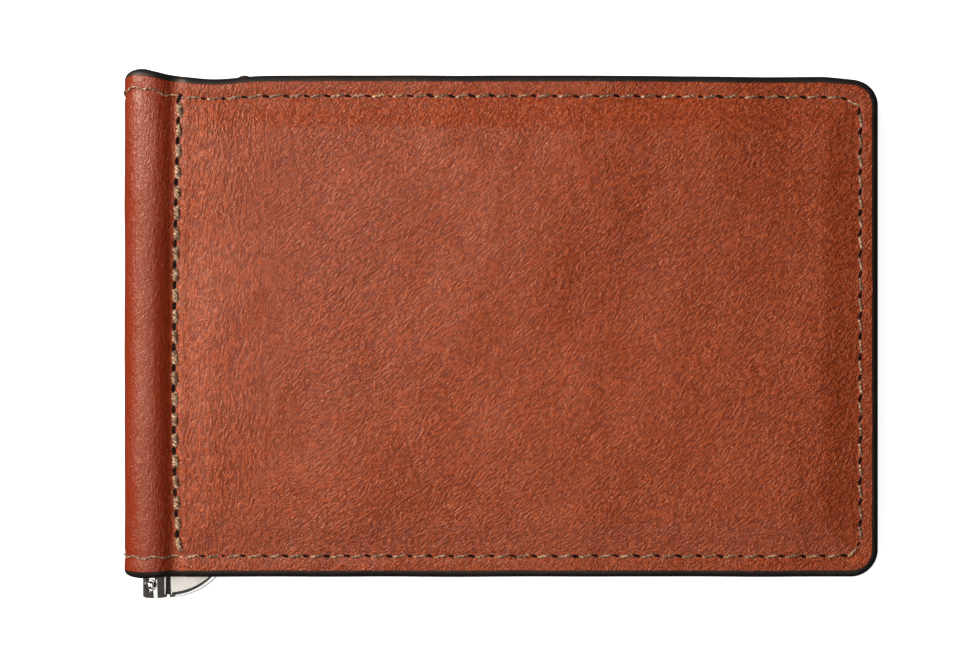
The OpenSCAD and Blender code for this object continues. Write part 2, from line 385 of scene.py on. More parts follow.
@dataclass(frozen=True)
class GlazedLeather:
    """Glazed cover leather with pebbled grain, creases and black painted edges; its colour also holds painted shade
    in grooves, veins and over the spine, and painted highlight on the crests.
    """

    name: str = "glazed_leather"
    # The lightest colour is a painted highlight on the grain's crests, and the darkest is painted shade in its
    # grooves and veins; plain is the leather's own colour.
    crest_highlight: Colour = (0.40, 0.066, 0.014, 1)
    groove_shade: Colour = (0.18, 0.020, 0.003, 1)
    plain: Colour = (0.29, 0.038, 0.007, 1)
    # Darker colour mixed over the spine as painted shade.
    painted_shade: Colour = (0.20, 0.016, 0.003, 1)
    glint: Colour = (1.0, 0.80, 0.62, 1)
    paint: Colour = (0.006, 0.006, 0.007, 1)
    paint_width: float = 0.95
    scale: float = 3000.0
    slant: float = 36.0
    spine_x: tuple[float, float] = (-0.0490, -0.0475)
    upright_x: tuple[float, float] = (-0.034, -0.018)

    def lines(self, s: Shader, vector: Socket, scale: float, width: float) -> Socket:
        """Thin raised lines that wander: 1 on a line and 0 between the lines."""
        away = s.math("ABSOLUTE", s.math("SUBTRACT", s.noise(scale, 2, vector=vector, rough=0.6), 0.5))
        return s.ramp(away, 0.0, width, 1.0, 0.0)

    def grain(self, s: Shader, vector: Socket, scale: float) -> Socket:
        """Rounded pebbles with narrow grooves, from 0 to 1."""
        return s.ramp(s.noise(scale, 1, vector=vector, rough=0.5), 0.36, 0.64)

    def wrinkles(self, s: Shader, over_spine: Socket) -> Socket:
        """Fine wrinkles: slanting over the cover, upright near the long seam, faint on the spine.

        Args:
            s: The material under construction.
            over_spine: 1 on the spine and 0 on the covers.

        Returns:
            Their height from 0 to 1.
        """
        slanting = s.warped(s.moved((0.42, 1.0, 1.0), turn=-self.slant), 420, 0.0010)
        upright = s.warped(s.moved((1.0, 0.36, 1.0), turn=8), 450, 0.0010)
        over = self.grain(s, slanting, self.scale)
        beside = self.grain(s, upright, self.scale * 0.85)
        x = s.add("ShaderNodeSeparateXYZ", Vector=s.place).outputs["X"]
        x = s.plus(x, s.times(s.noise(90, 2), 0.016))
        mixed = s.add("ShaderNodeMix", {"data_type": "FLOAT"})
        for k, value in ((0, s.ramp(x, *self.upright_x, 1.0, 0.0)), (2, over), (3, beside)):
            s.feed(mixed.inputs[k], value)
        fine = self.grain(s, s.warped(s.place, 900, 0.0005), self.scale * 1.4)
        height = s.plus(s.times(mixed.outputs[0], 0.62), s.times(fine, 0.38))
        calm = s.flipped(s.times(over_spine, 0.5))
        crest = s.times(self.lines(s, slanting, self.scale * 0.45, 0.035), 0.45)
        height = s.plus(height, crest)
        centred = s.times(s.math("SUBTRACT", height, 0.5), calm)
        return s.plus(centred, 0.5)

    def material(self) -> Material:
        """Builds the material."""
        s = Shader(self.name)
        x = s.add("ShaderNodeSeparateXYZ", Vector=s.place).outputs["X"]
        over_spine = s.ramp(x, *self.spine_x, 1.0, 0.0)
        wrinkle = self.wrinkles(s, over_spine)
        swept = s.warped(s.moved((0.3, 1.0, 1.0), turn=-self.slant), 160, 0.006)
        folds = self.lines(s, swept, 210, 0.022)
        patches = s.noise(60, 2, vector=s.moved((1, 1, 1), shift=(0.3, 0.1, 0)))
        folds = s.times(folds, s.ramp(patches, 0.46, 0.6))
        upright = s.warped(s.moved((1.0, 0.25, 1.0), turn=5), 220, 0.003)
        along_y = s.math("ABSOLUTE", s.add("ShaderNodeSeparateXYZ", Vector=s.place).outputs["Y"])
        vein_area = s.times(s.ramp(along_y, 0.020, 0.034), s.ramp(s.noise(55, 2), 0.42, 0.6))
        veins = s.times(s.cracks(upright, 520, 0.05), vein_area)
        mottle = s.times(s.noise(520, 3, rough=0.6), 0.55)
        cloud = s.plus(s.times(s.noise(35, 3), 0.45), mottle)
        # Wrinkle height picks painted groove shade, plain colour or painted crest highlight; the cloud adds random
        # mottle of the leather's own tone.
        tone = s.plus(wrinkle, s.times(s.math("SUBTRACT", cloud, 0.5), 0.4))
        colour = s.mix(s.ramp(tone, 0.15, 0.6), self.groove_shade, self.plain)
        colour = s.mix(s.ramp(tone, 0.6, 1.15), colour, self.crest_highlight)
        # Painted shade darkens the vein cracks.
        colour = s.mix(s.times(veins, 0.35), colour, self.groove_shade)
        # Painted shade over the spine, darker than the cover.
        colour = s.mix(s.times(over_spine, 0.78), colour, self.painted_shade)
        distance = s.add("ShaderNodeAttribute", {"attribute_name": "rim"}).outputs["Fac"]
        wander = s.times(s.math("SUBTRACT", s.noise(500, 2), 0.5), 0.25)
        distance = s.plus(distance, wander)
        painted = s.ramp(distance, self.paint_width - 0.06, self.paint_width + 0.06, 1.0, 0.0)
        colour = s.mix(painted, colour, self.paint)
        bare = s.flipped(painted)
        swell = s.ramp(s.noise(32, 2, vector=s.moved((1, 1, 1), shift=(0.7, 0.2, 0))), 0.35, 0.6, 0.6, 1.0)
        height = s.times(s.times(wrinkle, swell), bare)
        normal = s.bump(s.noise(34, 2), 2.6, 1.0)
        normal = s.bump(s.noise(300, 3), 0.2, 0.4, normal)
        normal = s.bump(s.times(folds, bare), 0.05, 0.7, normal)
        normal = s.bump(height, 0.11, 1.0, normal)
        normal = s.bump(s.flipped(veins), 0.04, 0.7, normal)
        rough = s.ramp(s.noise(700, 3), 0.3, 0.7, 0.26, 0.36)
        return s.finish(
            Base_Color=colour, Roughness=s.plus(rough, s.times(painted, 0.2)), Normal=normal,
            Specular_IOR_Level=0.5, Specular_Tint=self.glint, Coat_Weight=s.times(bare, 0.12),
            Coat_Roughness=0.15, Coat_IOR=1.45,
        )


@dataclass(frozen=True)
class PocketLeather:
    """Thin smooth leather of the pockets and of the sleeve, with dyed edges."""

    name: str = "pocket_leather"
    light: Colour = (0.40, 0.092, 0.031, 1)
    dark: Colour = (0.31, 0.062, 0.020, 1)
    edge: Colour = (0.012, 0.010, 0.010, 1)

    def material(self) -> Material:
        """Builds the material."""
        s = Shader(self.name)
        pores = s.cracks(s.warped(s.place, 700, 0.0006), 2300, 0.25)
        tone = s.ramp(s.noise(90, 5, rough=0.6), 0.35, 0.66)
        colour = s.mix(tone, self.dark, self.light)
        colour = s.mix(s.times(pores, 0.3), colour, self.edge)
        distance = s.add("ShaderNodeAttribute", {"attribute_name": "rim"}).outputs["Fac"]
        colour = s.mix(s.ramp(distance, 0.25, 0.4, 1.0, 0.0), colour, self.edge)
        normal = s.bump(s.noise(300, 3), 0.1, 0.4)
        normal = s.bump(s.flipped(pores), 0.025, 0.6, normal)
        rough = s.ramp(s.noise(500, 3), 0.3, 0.7, 0.42, 0.56)
        return s.finish(Base_Color=colour, Roughness=rough, Normal=normal)


@dataclass(frozen=True)
class LiningCloth:
    """Fine black twill lining."""

    name: str = "lining_cloth"
    ground: Colour = (0.012, 0.011, 0.011, 1)
    thread: Colour = (0.045, 0.040, 0.036, 1)
    pitch: float = 2600.0

    def material(self) -> Material:
        """Builds the material."""
        s = Shader(self.name)
        waves = []
        for turn in (0.0, 90.0):
            waves.append(
                s.add(
                    "ShaderNodeTexWave", {"wave_type": "BANDS", "bands_direction": "X"},
                    Vector=s.moved((1, 1, 1), turn=turn + 25), Scale=self.pitch / (2 * math.pi) / 3.2, Distortion=0.6,
                    Detail=1.0, Detail_Scale=2.0,
                ).outputs["Fac"]
            )
        weave = s.times(waves[0], waves[1])
        colour = s.mix(weave, self.ground, self.thread)
        colour = s.mix(s.ramp(s.noise(150, 3), 0.4, 0.7, 0.0, 0.25), colour, self.thread)
        normal = s.bump(weave, 0.05, 0.7, s.bump(s.noise(180, 2), 0.15, 0.3))
        return s.finish(
            Base_Color=colour, Roughness=0.78, Normal=normal, Sheen_Weight=0.25, Sheen_Roughness=0.4
        )


@dataclass(frozen=True)
class WaxedThread:
    """Twisted waxed thread in beige, with painted shade in its fibre streaks and twists."""

    name: str = "waxed_thread"
    light: Colour = (0.70, 0.45, 0.26, 1)
    dark: Colour = (0.085, 0.030, 0.011, 1)

    def material(self) -> Material:
        """Builds the material."""
        s = Shader(self.name)
        fibres = s.noise(5200, 3, vector=s.moved((0.35, 1, 1), turn=40))
        # Fibre streaks run from painted shade to beige; coarser patches then add painted shade of the twists.
        colour = s.mix(s.ramp(fibres, 0.35, 0.65), self.dark, self.light)
        colour = s.mix(s.ramp(s.noise(1100, 2), 0.42, 0.6, 0.0, 0.75), colour, self.dark)
        return s.finish(Base_Color=colour, Roughness=0.55, Normal=s.bump(fibres, 0.03, 0.6))


@dataclass(frozen=True)
class HoleShade:
    """Painted shade for the inside of an awl hole, laid as a flat near-black disc."""

    name: str = "painted_hole_shade"
    painted_shade: Colour = (0.004, 0.002, 0.0015, 1)
    shade_fringe: Colour = (0.03, 0.007, 0.004, 1)

    def material(self) -> Material:
        """Builds the material."""
        s = Shader(self.name)
        colour = s.mix(s.ramp(s.noise(2500, 2), 0.4, 0.7), self.painted_shade, self.shade_fringe)
        return s.finish(
            Base_Color=colour, Roughness=0.9, Specular_IOR_Level=0.1, Normal=s.bump(s.noise(3000, 2), 0.03, 0.5)
        )


@dataclass(frozen=True)
class Metal:
    """A metal with fine brushing, faint scratches and smudges."""

    name: str
    colour: Colour
    roughness: float
    brushing: float = 0.0

    def material(self) -> Material:
        """Builds the material."""
        s = Shader(self.name)
        streaks = s.noise(9000, 2, vector=s.moved((1, 0.05, 1)))
        smudge = s.noise(260, 4)
        worn = tuple(c * 0.86 for c in self.colour[:3]) + (1,)
        colour = s.mix(s.ramp(smudge, 0.45, 0.7, 0.0, 0.5), self.colour, worn)
        rough = s.ramp(s.noise(500, 3), 0.3, 0.7, self.roughness * 0.8, self.roughness * 1.25)
        normal = s.bump(s.noise(1400, 2), 0.006, 0.25, s.bump(streaks, 0.006, max(self.brushing, 0.03)))
        return s.finish(Base_Color=colour, Metallic=1.0, Roughness=rough, Normal=normal)


@dataclass(frozen=True)
class Moulded:
    """A plain dull material with fine texture, for the board and the washer."""

    name: str
    light: Colour
    dark: Colour
    scale: float = 900.0
    roughness: float = 0.7

    def material(self) -> Material:
        """Builds the material."""
        s = Shader(self.name)
        grain = s.noise(self.scale, 5, rough=0.65)
        colour = s.mix(s.ramp(grain, 0.35, 0.65), self.dark, self.light)
        rough = s.ramp(s.noise(self.scale, 2), 0.3, 0.7, self.roughness * 0.9, self.roughness)
        return s.finish(Base_Color=colour, Roughness=rough, Normal=s.bump(grain, 0.04, 0.5))


def finish_field(finish: Any) -> Any:
    """Field that holds the finish's material, built with the palette."""
    return field(default_factory=finish.material)


@dataclass
class Palette:
    """Every finish of the wallet, built once."""

    leather: Material = finish_field(GlazedLeather())
    pocket: Material = finish_field(PocketLeather())
    lining: Material = finish_field(LiningCloth())
    thread: Material = finish_field(WaxedThread())
    # Near-black painted shade for awl holes and the pin's grooves.
    hole_shade: Material = finish_field(HoleShade())
    satin: Material = finish_field(Metal("satin_nickel", (0.72, 0.68, 0.63, 1), 0.34, 0.25))
    bright: Material = finish_field(Metal("polished_nickel", (0.82, 0.80, 0.78, 1), 0.07))
    steel: Material = finish_field(Metal("ground_steel", (0.52, 0.52, 0.54, 1), 0.28, 0.2))
    # Near-black steel for the clip's tongue, as painted shade in the slot.
    slot_shade: Material = finish_field(Metal("slot_shade_steel", (0.03, 0.027, 0.025, 1), 0.4, 0.1))
    brass: Material = finish_field(Metal("turned_brass", (0.80, 0.58, 0.24, 1), 0.24, 0.15))
    board: Material = finish_field(Moulded("fibre_board", (0.40, 0.32, 0.23, 1), (0.24, 0.18, 0.12, 1)))
    washer: Material = finish_field(
        Moulded("washer_plastic", (0.84, 0.82, 0.78, 1), (0.78, 0.76, 0.71, 1), 1600.0, 0.5)
    )

    def by_slot(self) -> dict[str, Material]:
        """Material for each slot of the record."""
        return {
            "leather": self.leather, "pocket_leather": self.pocket, "lining": self.lining,
            "board": self.board, "thread": self.thread, "satin_nickel": self.satin,
            "bright_metal": self.bright, "spring_steel": self.steel, "bushing_brass": self.brass,
            "washer_plastic": self.washer,
        }


@dataclass(frozen=True)
class CoverShape:
    """Form of the front cover in mm; the back cover is its mirror about the middle plane.

    A place on the cover is (p, y): p runs along the leather from the crest of the roll, which is
    negative towards the spine, and y along the spine.
    """

    half_w: float = 55.3
    half_h: float = 36.75
    mid_z: float = 5.8
    rim_z: float = 11.0
    pad_rise: float = 0.6
    corner_r: float = 4.0
    roll_r: float = 4.0
    leather_t: float = 1.2
    lining_t: float = 0.5
    round_w: float = 1.0
    round_drop: float = 0.9
    seam_inset: float = 3.05
    fore_inset: float = 2.65
    groove_z: float = 10.42
    bulge: float = 0.38
    board_inset: float = 8.3
    board_u: float = 12.8

    @property
    def quarter(self) -> float:
        """Length of the roll's quarter turn."""
        return math.pi / 2 * self.roll_r

    @property
    def roll_x(self) -> float:
        """X of the roll's centre."""
        return self.roll_r - self.half_w

    @property
    def roll_z(self) -> float:
        """Z of the roll's centre."""
        return self.rim_z + self.pad_rise - self.roll_r

    @property
    def p_spine(self) -> float:
        """p of the middle of the spine."""
        return -(self.quarter + self.roll_z - self.mid_z)

    @property
    def p_edge(self) -> float:
        """p of the fore edge."""
        return self.half_w - self.roll_x

    def seam_p(self, y: float) -> float:
        """p of the long seam, which bows a little towards the spine."""
        away = (y + 12) / 36
        return 3.4 + (0.49 if away > 0 else 2.0) * away**2

    def reach(self, p: float) -> float:
        """Half the cover's height at p, which falls off round the corners."""
        over = p + self.roll_x - (self.half_w - self.corner_r)
        if over <= 0:
            return self.half_h
        over = min(over, self.corner_r)
        return self.half_h - self.corner_r + math.sqrt(max(0.0, self.corner_r**2 - over**2))

    def rim(self, p: float, y: float) -> float:
        """Distance from the cover's three free edges."""
        to_fore = self.p_edge - p
        to_side = self.half_h - abs(y)
        if to_fore < self.corner_r and to_side < self.corner_r:
            return self.corner_r - math.hypot(self.corner_r - to_fore, self.corner_r - to_side)
        return min(to_fore, to_side)

    def wave(self, p: float, y: float) -> float:
        """How far the long edges wander in y: the spine's ends flare and the cover dips beside it."""
        u = p + self.roll_r
        top = 0.95 * hump(u - 1.9, 3.6) - 0.52 * hump(u - 13.2, 4.6) - 0.22 * hump(u - 95, 16)
        top += 0.05 * noise.noise(Vector((u / 9, 3.1, 0))) - 0.5 * smooth((u - 102) / 6)
        low = 0.22 * hump(u - 2.4, 2.4) + 0.16 + 0.06 * noise.noise(Vector((u / 11, 7.7, 0)))
        share = (abs(y) / self.half_h) ** 3
        return share * top if y > 0 else -share * low

    def height(self, p: float, y: float) -> float:
        """Z of the outer face past the roll's crest."""
        groove = self.seam_p(y) - 0.5
        plain = self.rim_z
        plain -= (self.rim_z - self.groove_z) * (1 - smooth((p - groove + 0.25) / 1.7))
        d = self.rim(p, y)
        plain += self.pad_rise * smooth((d - 3.6) / 5.0) * smooth((p - 4.4) / 5.5)
        if p < self.roll_r - 0.05:
            roll = self.roll_z + math.sqrt(self.roll_r**2 - p**2)
            k = 9.0
            return math.log(math.exp(k * (roll - 10)) + math.exp(k * (plain - 10))) / k + 10
        return plain

    def base(self, p: float, y: float) -> tuple[Vector, Vector]:
        """Point of the outer face without relief, and the way it faces."""
        if p < -self.quarter:
            z = self.roll_z - (-p - self.quarter)
            return Vector((-self.half_w, y, z)), Vector((-1, 0, 0))
        if p < 0:
            a = math.pi / 2 - p / self.roll_r
            way = Vector((math.cos(a), 0, math.sin(a)))
            return Vector((self.roll_x, y, self.roll_z)) + way * self.roll_r, way
        return Vector((self.roll_x + p, y, self.height(p, y))), Vector((0, 0, 1))

    def relief(self, p: float, y: float, seed: float) -> float:
        """Unevenness of the leather: puffiness, creases and the pull of the seams."""
        d = self.rim(p, y)
        lift = 0.10 * noise.noise(Vector((p / 13, y / 13, seed)))
        lift += 0.035 * noise.noise(Vector((p / 3.4, y / 3.4, seed + 5)))
        along = (p * 0.84 + y * 0.54) / 9
        across = (-p * 0.54 + y * 0.84) / 1.6
        fold = 1 - abs(noise.noise(Vector((along, across, seed + 9)))) * 2
        lift -= 0.05 * max(0.0, fold) ** 5 * smooth((p - 18) / 25)
        upright = 1 - abs(noise.noise(Vector((p / 1.5, y / 11, seed + 13)))) * 2
        lift -= 0.06 * max(0.0, upright) ** 4 * smooth((p - 4) / 2) * (1 - smooth((p - 8) / 22))
        lift -= 0.16 * hump(d - self.seam_inset, 0.55)
        if p > 1:
            lift -= 0.12 * hump(p - self.seam_p(y), 0.5)
        lift *= smooth((p - self.p_spine) / 2.5) * smooth(d / 1.2)
        lift += self.bulge * smooth((-p - 0.5) / 4.0)
        if d < self.round_w:
            lift -= self.round_drop * (1 - math.sqrt(max(0.0, 1 - (1 - d / self.round_w) ** 2)))
        return lift

    def on_face(self, p: float, y: float, seed: float) -> tuple[Vector, Vector]:
        """Point of the finished outer face, and the way it faces."""
        point, way = self.base(p, y)
        point = point + way * self.relief(p, y, seed)
        point.y += self.wave(p, y)
        return point, way

    def under(self, p: float, y: float) -> Vector:
        """Point of the cover leather's inner face, hollowed for the board."""
        point = self.lining_face(p, y, 0.0)
        if p >= 0 and self.rim(p, y) > self.board_inset and p + self.roll_r > self.board_u:
            point.z += self.pad_rise
        return point

    def lining_face(self, p: float, y: float, depth: float) -> Vector:
        """Point at a depth below the cover leather's inner face, along the lining."""
        inner_r = self.roll_r - self.leather_t - depth
        if p < 0:
            point, way = self.base(p, y)
            point = point - way * (self.leather_t + depth)
        else:
            roll = self.roll_z + math.sqrt(max(0.0, inner_r**2 - p**2))
            point = Vector((self.roll_x + p, y, max(self.rim_z - self.leather_t - depth, roll)))
        point.y += self.wave(p, y)
        return point


def facing(cover: Cover, shape: CoverShape, point: Vector) -> Vector:
    """Gives a front cover point its place on the chosen cover."""
    if cover is Cover.FRONT:
        return point
    return Vector((point.x, point.y, 2 * shape.mid_z - point.z))


def edge_steps(steps: Sequence[float], low: float, high: float, pitch: float, both: bool) -> list[float]:
    """Grid values from low to high, closer together at the high end, or at both ends.

    Args:
        steps: Distances from an edge where extra lines stand.
        low: First value.
        high: Last value.
        pitch: Spacing in between.
        both: Whether the low end gets the extra lines too.

    Returns:
        The values in order.
    """
    inset = max(steps)
    start = low + (inset if both else 0)
    count = max(1, round((high - inset - start) / pitch))
    middle = [start + (high - inset - start) * k / count for k in range(count)]
    ends = sorted(high - s for s in steps)
    head = sorted(low + s for s in steps if s < inset) if both else []
    return head + middle + ends


EDGE_LINES = (0.0, 0.02, 0.08, 0.18, 0.32, 0.5, 0.7, 0.88, 1.04, 1.3, 1.7)


@dataclass
class LeatherCover:
    """One cover of the wallet: leather, lining, pockets and stitching."""

    cover: Cover
    shape: CoverShape
    palette: Palette
    seed: float = 0.0
    pitch: float = 0.5
    pocket_t: float = 0.45
    pocket_mouth: float = 10.0
    pocket_step: float = 7.5
    pocket_p: float = 2.5
    stitch_pitch: float = 3.03

    def scaled(self, p: float, y: float) -> float:
        """y drawn in to follow the rounded corners."""
        return y * self.shape.reach(p) / self.shape.half_h

    def put(self, point: Vector) -> Vector:
        """Turns a front cover point over where this is the back cover."""
        return facing(self.cover, self.shape, point)

    def bend(self, piece: Object) -> None:
        """Bakes a piece's transform into its mesh; the fold's two ends are worked out but not used, and the piece is
        not made to turn with the fold.
        """
        r, s = self.shape.roll_r, self.shape
        on_spine = self.put(Vector((-s.half_w, 0, s.roll_z))) * MM
        on_cover = self.put(Vector((s.roll_x, 0, s.roll_z + r))) * MM
        if self.cover is Cover.FRONT:
            self.cover.body
            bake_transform(piece)
        else:
            self.cover.body
            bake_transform(piece)

    def build_leather(self) -> Object:
        """Builds the outer leather from the middle of the spine to the fore edge."""
        s = self.shape
        turn = [s.p_spine + (0 - s.p_spine) * k / 26 for k in range(26)]
        columns = turn + edge_steps(EDGE_LINES, 0.0, s.p_edge, self.pitch, False)
        rows = edge_steps(EDGE_LINES, -s.half_h, s.half_h, self.pitch, True)

        def outer(p: float, y: float) -> Vector:
            return self.put(s.on_face(p, self.scaled(p, y), self.seed)[0])

        def inner(p: float, y: float) -> Vector:
            return self.put(s.under(p, self.scaled(p, y)))

        def rim(p: float, y: float) -> float:
            return s.rim(p, self.scaled(p, y))

        made = closed_panel(
            f"{self.cover.value}_leather", columns, rows, outer, inner, self.palette.leather, rim, 62.0
        )
        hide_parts(f"{self.cover.value}_outer", "spine_outer")
        self.bend(made)
        return made

    def build_lining(self) -> Object:
        """Builds the cloth lining, which carries on round the fold to the spine."""
        s = self.shape
        turn = [s.p_spine + (0 - s.p_spine) * k / 20 for k in range(20)]
        columns = turn + edge_steps((0.0, 0.1, 0.3), 0.0, s.p_edge - 0.06, 1.2, False)
        rows = edge_steps((0.0, 0.1, 0.3), -s.half_h + 0.06, s.half_h - 0.06, 1.5, True)

        def sheet(depth: float) -> Place:
            def at(p: float, y: float) -> Vector:
                sag = 0.05 * noise.noise(Vector((p / 7, y / 7, self.seed + 2))) if depth > 0.3 else 0.0
                return self.put(s.lining_face(p, self.scaled(p, y), depth + min(0.0, sag)))
            return at

        made = closed_panel(
            f"{self.cover.value}_lining_cloth", columns, rows, sheet(0.02), sheet(s.lining_t), self.palette.lining
        )
        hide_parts(f"{self.cover.value}_lining", "spine_lining")
        self.bend(made)
        return made

    def inner_z(self, y: float) -> float:
        """Z of the innermost layer at y, as the pockets step down towards the bottom."""
        s = self.shape
        z = s.rim_z - s.leather_t - s.lining_t
        for number in (1, 2, 3):
            if y < self.mouth(number):
                z -= self.pocket_t
        return z

    def mouth(self, number: int) -> float:
        """Height of a pocket's mouth."""
        return self.pocket_mouth + (3 - number) * self.pocket_step

    def build_pocket(self, number: int) -> Object:
        """Builds one card pocket with a turned and creased mouth.

        Args:
            number: 1 for the pocket on the lining, 3 for the one in front.

        Returns:
            The pocket's leather.
        """
        s = self.shape
        top = s.rim_z - s.leather_t - s.lining_t - (number - 1) * self.pocket_t
        mouth = self.mouth(number)
        columns = edge_steps((0.0, 0.1, 0.25, 0.4), self.pocket_p, s.p_edge - 0.05, 1.0, True)
        lines = (0.0, 0.06, 0.15, 0.3, 0.45, 0.9, 1.05, 1.2, 1.35, 1.5, 1.8)
        rows = edge_steps(lines, -s.half_h + 0.05, mouth, 1.0, True)

        def rim(p: float, y: float) -> float:
            return min(s.rim(p, self.scaled(p, y)), 9.0)

        def rounding(p: float, y: float) -> float:
            to_edge = min(s.rim(p, self.scaled(p, y)), mouth - y, p - self.pocket_p)
            return 0.17 * (1 - smooth(to_edge / 0.3)) if to_edge < 0.3 else 0.0

        def outer(p: float, y: float) -> Vector:
            y2 = self.scaled(p, y)
            return self.put(Vector((s.roll_x + p, y2 + s.wave(p, y2), top - rounding(p, y) * 0.3 - 0.02)))

        def inner(p: float, y: float) -> Vector:
            y2 = self.scaled(p, y)
            z = top - self.pocket_t + rounding(p, y)
            z += 0.07 * hump(mouth - y - 1.2, 0.16)
            z -= 0.04 * noise.noise(Vector((p / 8, y / 8, self.seed + number))) * smooth((s.rim(p, y2) - 3) / 4)
            return self.put(Vector((s.roll_x + p, y2 + s.wave(p, y2), z)))

        made = closed_panel(
            f"{self.cover.value}_card_pocket_{number}", columns, rows, outer, inner, self.palette.pocket, rim
        )
        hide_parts(f"{self.cover.value}_pocket_{number}")
        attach(made, self.cover.body)
        return made

    def edge_path(self) -> list[tuple[float, float]]:
        """(p, y) places along the perimeter seam, from the long seam's top end round to its bottom end."""
        s = self.shape
        y = s.half_h - s.seam_inset
        p = s.p_edge - s.fore_inset
        r = s.corner_r - 1.2
        path = [(s.seam_p(y) + 0.3, y), (p - r, y)]
        path += [(p - r + r * math.sin(a), y - r + r * math.cos(a)) for a in (0.4, 0.8, 1.2, math.pi / 2)]
        path += [(p, -y + r)]
        path += [(p - r + r * math.cos(a), -y + r - r * math.sin(a)) for a in (0.4, 0.8, 1.2, math.pi / 2)]
        return path + [(s.seam_p(-y) + 0.3, -y)]

    def on_inside(self, p: float, y: float) -> tuple[Vector, Vector]:
        """Point of the cover's innermost face, and the way it faces."""
        return Vector((self.shape.roll_x + p, y, self.inner_z(y))), Vector((0, 0, -1))

    def build_stitches(self) -> list[Object]:
        """Sews the perimeter seam and the long seam beside the spine."""
        s = self.shape

        def outside(p: float, y: float) -> tuple[Vector, Vector]:
            return s.on_face(p, y, self.seed)

        seam = [(s.seam_p(y), y) for y in (33.2, 26, 20, 14, 8, 2, -4, -10, -16, -22, -28, -33.5)]
        inner_seam = [(s.seam_p(0) + 0.2, 32.2), (s.seam_p(0) + 0.2, -32.4)]
        edge = self.edge_path()
        inner_edge = [(max(p, self.pocket_p + 0.6), y) for p, y in edge]
        rows = {
            "edge_stitches": (edge, Stitching.EDGE, outside, True),
            "seam_stitches": (seam, Stitching.SEAM, outside, True),
            "inner_edge_stitches": (inner_edge, Stitching.EDGE, self.on_inside, False),
            "inner_seam_stitches": (inner_seam, Stitching.EDGE, self.on_inside, False),
        }
        made = []
        for name, (path, kind, face, bends) in rows.items():
            name = f"{self.cover.value}_{name}"
            row = StitchRow(name, path, kind, self.stitch_pitch, face, self.put, s, self.palette)
            for piece in row.build():
                if bends:
                    self.bend(piece)
                else:
                    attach(piece, self.cover.body)
                made.append(piece)
        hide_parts(f"{self.cover.value}_thread")
        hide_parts(f"{self.cover.value}_seam_thread")
        return made

    def build_roll_thread(self) -> Object:
        """Lays the perimeter seam's thread over the roll, from the middle of the spine to the long seam."""
        s = self.shape
        ply, twist, sides, count = 0.105, 1.25, 5, 110
        points: list[Vector] = []
        faces: Faces = []
        for side in (1, -1):
            y0 = side * (s.half_h - s.seam_inset)
            last = s.seam_p(y0) + 0.5
            for phase in (0.0, math.pi):
                centres = []
                for k in range(count + 1):
                    p = s.p_spine + (last - s.p_spine) * k / count
                    drift = 0.38 * (1 - smooth((p + 1) / 4)) if side > 0 else -0.05
                    y = y0 + drift + 0.17 * math.sin(2 * math.pi * p / self.stitch_pitch + 1.0)
                    here, way = s.on_face(p, y, self.seed)
                    a = phase + 2 * math.pi * p / twist
                    rise = 0.06 + 0.075 * math.cos(a) + 0.05 * math.cos(2 * math.pi * p / self.stitch_pitch)
                    centres.append((here + way * rise + Vector((0, 0.08 * math.sin(a), 0)), way))
                start = len(points)
                for k, (centre, way) in enumerate(centres):
                    ahead = centres[min(k + 1, count)][0] - centres[max(k - 1, 0)][0]
                    cross = ahead.normalized().cross(way).normalized()
                    up = cross.cross(ahead.normalized())
                    for j in range(sides):
                        b = 2 * math.pi * j / sides
                        points.append(self.put(centre + (cross * math.cos(b) + up * math.sin(b)) * ply))
                faces += ring_faces(start, sides, count + 1)
                faces.append(tuple(start + j for j in range(sides)))
                faces.append(tuple(start + count * sides + j for j in range(sides)))
        made = object_from(f"{self.cover.value}_roll_thread", points, faces, self.palette.thread, 80.0)
        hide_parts("spine_thread")
        self.bend(made)
        return made

    def build(self) -> list[Object]:
        """Builds every piece of the cover."""
        made = [self.build_leather(), self.build_lining(), self.build_roll_thread()]
        made += [self.build_pocket(number) for number in (1, 2, 3)]
        return made + self.build_stitches()


class Tree(Nodes):
    """A geometry node tree under construction."""

    def __init__(self, name: str, inputs: dict[str, str]) -> None:
        """Starts a tree.

        Args:
            name: The tree's name.
            inputs: Type of each input after the geometry, by name.
        """
        super().__init__(bpy.data.node_groups.new(name, "GeometryNodeTree"))
        face = self.tree.interface
        face.new_socket("Geometry", in_out="INPUT", socket_type="NodeSocketGeometry")
        self.sockets = {
            key: face.new_socket(key, in_out="INPUT", socket_type=kind).identifier
            for key, kind in inputs.items()
        }
        face.new_socket("Geometry", in_out="OUTPUT", socket_type="NodeSocketGeometry")
        self.start = self.tree.nodes.new("NodeGroupInput")
        self.end = self.tree.nodes.new("NodeGroupOutput")

    def on_points(self, shape: Socket, material: Material) -> None:
        """Sets the shape on every point, turned by the attributes "along" and "up"."""
        vectors = {
            key: self.add("GeometryNodeInputNamedAttribute", {"data_type": "FLOAT_VECTOR"}, Name=key).outputs[0]
            for key in ("along", "up")
        }
        upright = self.add("FunctionNodeAlignRotationToVector", {"axis": "Z"}, Vector=vectors["up"])
        turned = self.add(
            "FunctionNodeAlignRotationToVector", {"axis": "X", "pivot_axis": "Z"},
            Rotation=upright.outputs[0], Vector=vectors["along"],
        )
        size = self.add(
            "FunctionNodeRandomValue", {"data_type": "FLOAT_VECTOR"},
            Min=(0.94, 0.9, 0.95), Max=(1.05, 1.08, 1.05), Seed=self.start.outputs["Seed"],
        )
        placed = self.add(
            "GeometryNodeInstanceOnPoints", Points=self.start.outputs["Geometry"], Instance=shape,
            Rotation=turned.outputs[0], Scale=size.outputs[0],
        )
        real = self.add("GeometryNodeRealizeInstances", Geometry=placed.outputs[0])
        dressed = self.add("GeometryNodeSetMaterial", Geometry=real.outputs[0], Material=material)
        self.tree.links.new(dressed.outputs[0], self.end.inputs[0])


